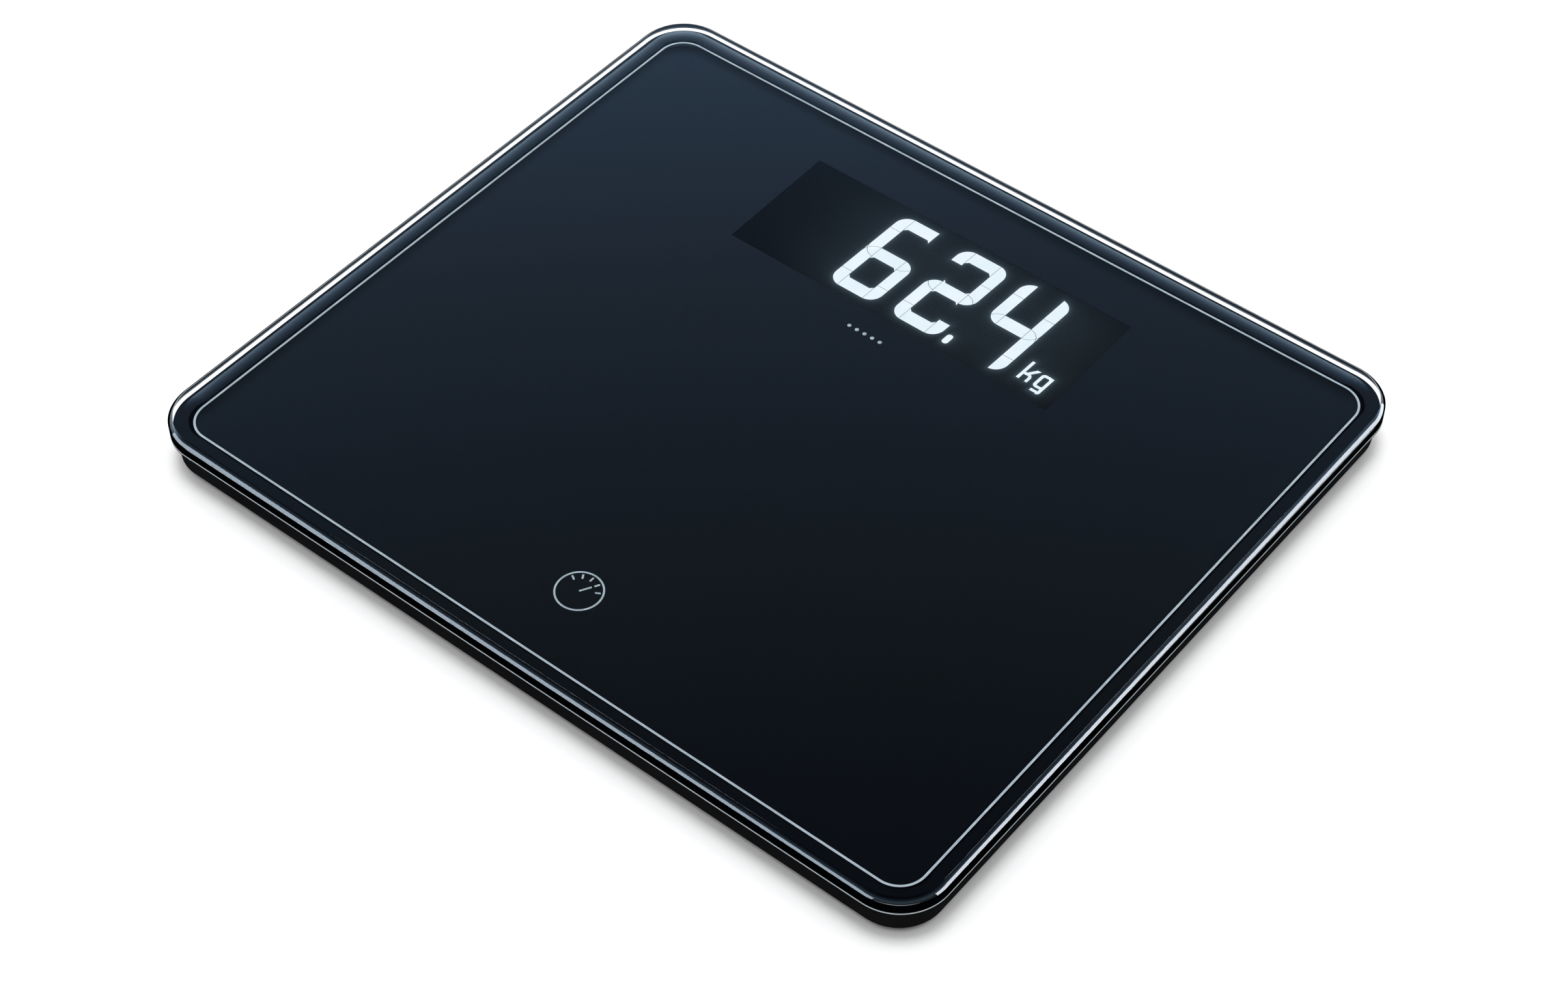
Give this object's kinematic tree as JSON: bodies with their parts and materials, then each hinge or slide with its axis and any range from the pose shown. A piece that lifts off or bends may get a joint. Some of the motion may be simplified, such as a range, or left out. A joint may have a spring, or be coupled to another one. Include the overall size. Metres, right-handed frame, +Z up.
{
  "type": "bathroom scale",
  "caption": "Flat digital bathroom scale: a dark glass platform with a thin pale border line and a wide lit display, on a shallow black base with rubber-padded load-cell feet.",
  "frame": {"origin": "on the floor, below the middle of the glass platform", "axes": "+X to the right of the person standing on it, along the longer side; +Y towards the display; +Z up"},
  "size_m": [0.35, 0.3, 0.0214],
  "materials": {
    "safety_glass": "clear tempered safety glass, polished, with ground and polished edges",
    "back_ink": "opaque blue-black screen print on the glass's back",
    "line_ink": "pale silver screen print",
    "display_glass": "dark negative display behind a film",
    "lit_segments": "lit white with a slightly blue glow",
    "base_plastic": "fine spark-textured black moulding",
    "button_plastic": "grey moulding",
    "foot_rubber": "matt black rubber",
    "foam": "closed-cell foam tape",
    "label": "blank silver film sticker",
    "white_plastic": "white moulding and film",
    "ivory_plastic": "ivory nylon",
    "clear_plastic": "clear acrylic",
    "lamp": "small white lamps",
    "plated_steel": "zinc-plated steel",
    "cell_steel": "nickel-plated can",
    "contact_metal": "plated spring contact",
    "ribbon_film": "amber film",
    "board": "green solder mask",
    "black_resin": "black resin",
    "ceramic": "ceramic chips",
    "wire_sleeve": "coloured wire sleeves"
  },
  "bodies": {
    "platform": {"glass_platform": "safety_glass", "back_print": "back_ink", "border_line": "line_ink", "front_motif": "line_ink", "adhesive_ring": "foam", "base_tray": "base_plastic", "support_pads": "foam", "rating_label": "label", "display_gasket": "foam", "lcd_panel": "display_glass", "lcd_segments": "lit_segments", "diffuser_film": "white_plastic", "light_guide": "clear_plastic", "reflector_sheet": "white_plastic", "led_strip": "white_plastic", "leds": "lamp", "display_frame": "white_plastic", "display_screws": "plated_steel", "display_ribbon": "ribbon_film", "circuit_board": "board", "controller_chip": "black_resin", "amplifier_chip": "black_resin", "capacitors": "ceramic", "wire_sockets": "ivory_plastic", "board_screws": "plated_steel", "unit_switch": "black_resin", "coin_cells": "cell_steel", "battery_bridge": "contact_metal", "battery_terminals": "contact_metal", "battery_wires": "wire_sleeve", "sensor_wires_front_left": "wire_sleeve", "sensor_wires_front_right": "wire_sleeve", "sensor_wires_rear_left": "wire_sleeve", "sensor_wires_rear_right": "wire_sleeve"},
    "battery_door": {"battery_cover": "base_plastic"},
    "button": {"unit_button": "button_plastic", "switch_plunger": "white_plastic"},
    "foot_front_left": {"foot_cup_front_left": "base_plastic", "rubber_pad_front_left": "foot_rubber", "load_cell_front_left": "plated_steel", "strain_gauge_front_left": "white_plastic"},
    "foot_front_right": {"foot_cup_front_right": "base_plastic", "rubber_pad_front_right": "foot_rubber", "load_cell_front_right": "plated_steel", "strain_gauge_front_right": "white_plastic"},
    "foot_rear_left": {"foot_cup_rear_left": "base_plastic", "rubber_pad_rear_left": "foot_rubber", "load_cell_rear_left": "plated_steel", "strain_gauge_rear_left": "white_plastic"},
    "foot_rear_right": {"foot_cup_rear_right": "base_plastic", "rubber_pad_rear_right": "foot_rubber", "load_cell_rear_right": "plated_steel", "strain_gauge_rear_right": "white_plastic"}
  },
  "joints": [
    {"name": "foot_front_left_press", "type": "slide", "parent": "platform", "child": "foot_front_left", "axis": [0, 0, 1], "range_m": [0, 0.0004]},
    {"name": "foot_front_right_press", "type": "slide", "parent": "platform", "child": "foot_front_right", "axis": [0, 0, 1], "range_m": [0, 0.0004]},
    {"name": "foot_rear_left_press", "type": "slide", "parent": "platform", "child": "foot_rear_left", "axis": [0, 0, 1], "range_m": [0, 0.0004]},
    {"name": "foot_rear_right_press", "type": "slide", "parent": "platform", "child": "foot_rear_right", "axis": [0, 0, 1], "range_m": [0, 0.0004]},
    {"name": "unit_button_press", "type": "slide", "parent": "platform", "child": "button", "axis": [0, 0, 1], "range_m": [0, 0.0005], "stiffness_N_per_m": 3000},
    {"name": "battery_cover_hinge", "type": "hinge", "parent": "platform", "child": "battery_door", "pos_m": [0, -0.0085, 0.0032], "axis": [1, 0, 0], "range_deg": [0, 80]}
  ]
}
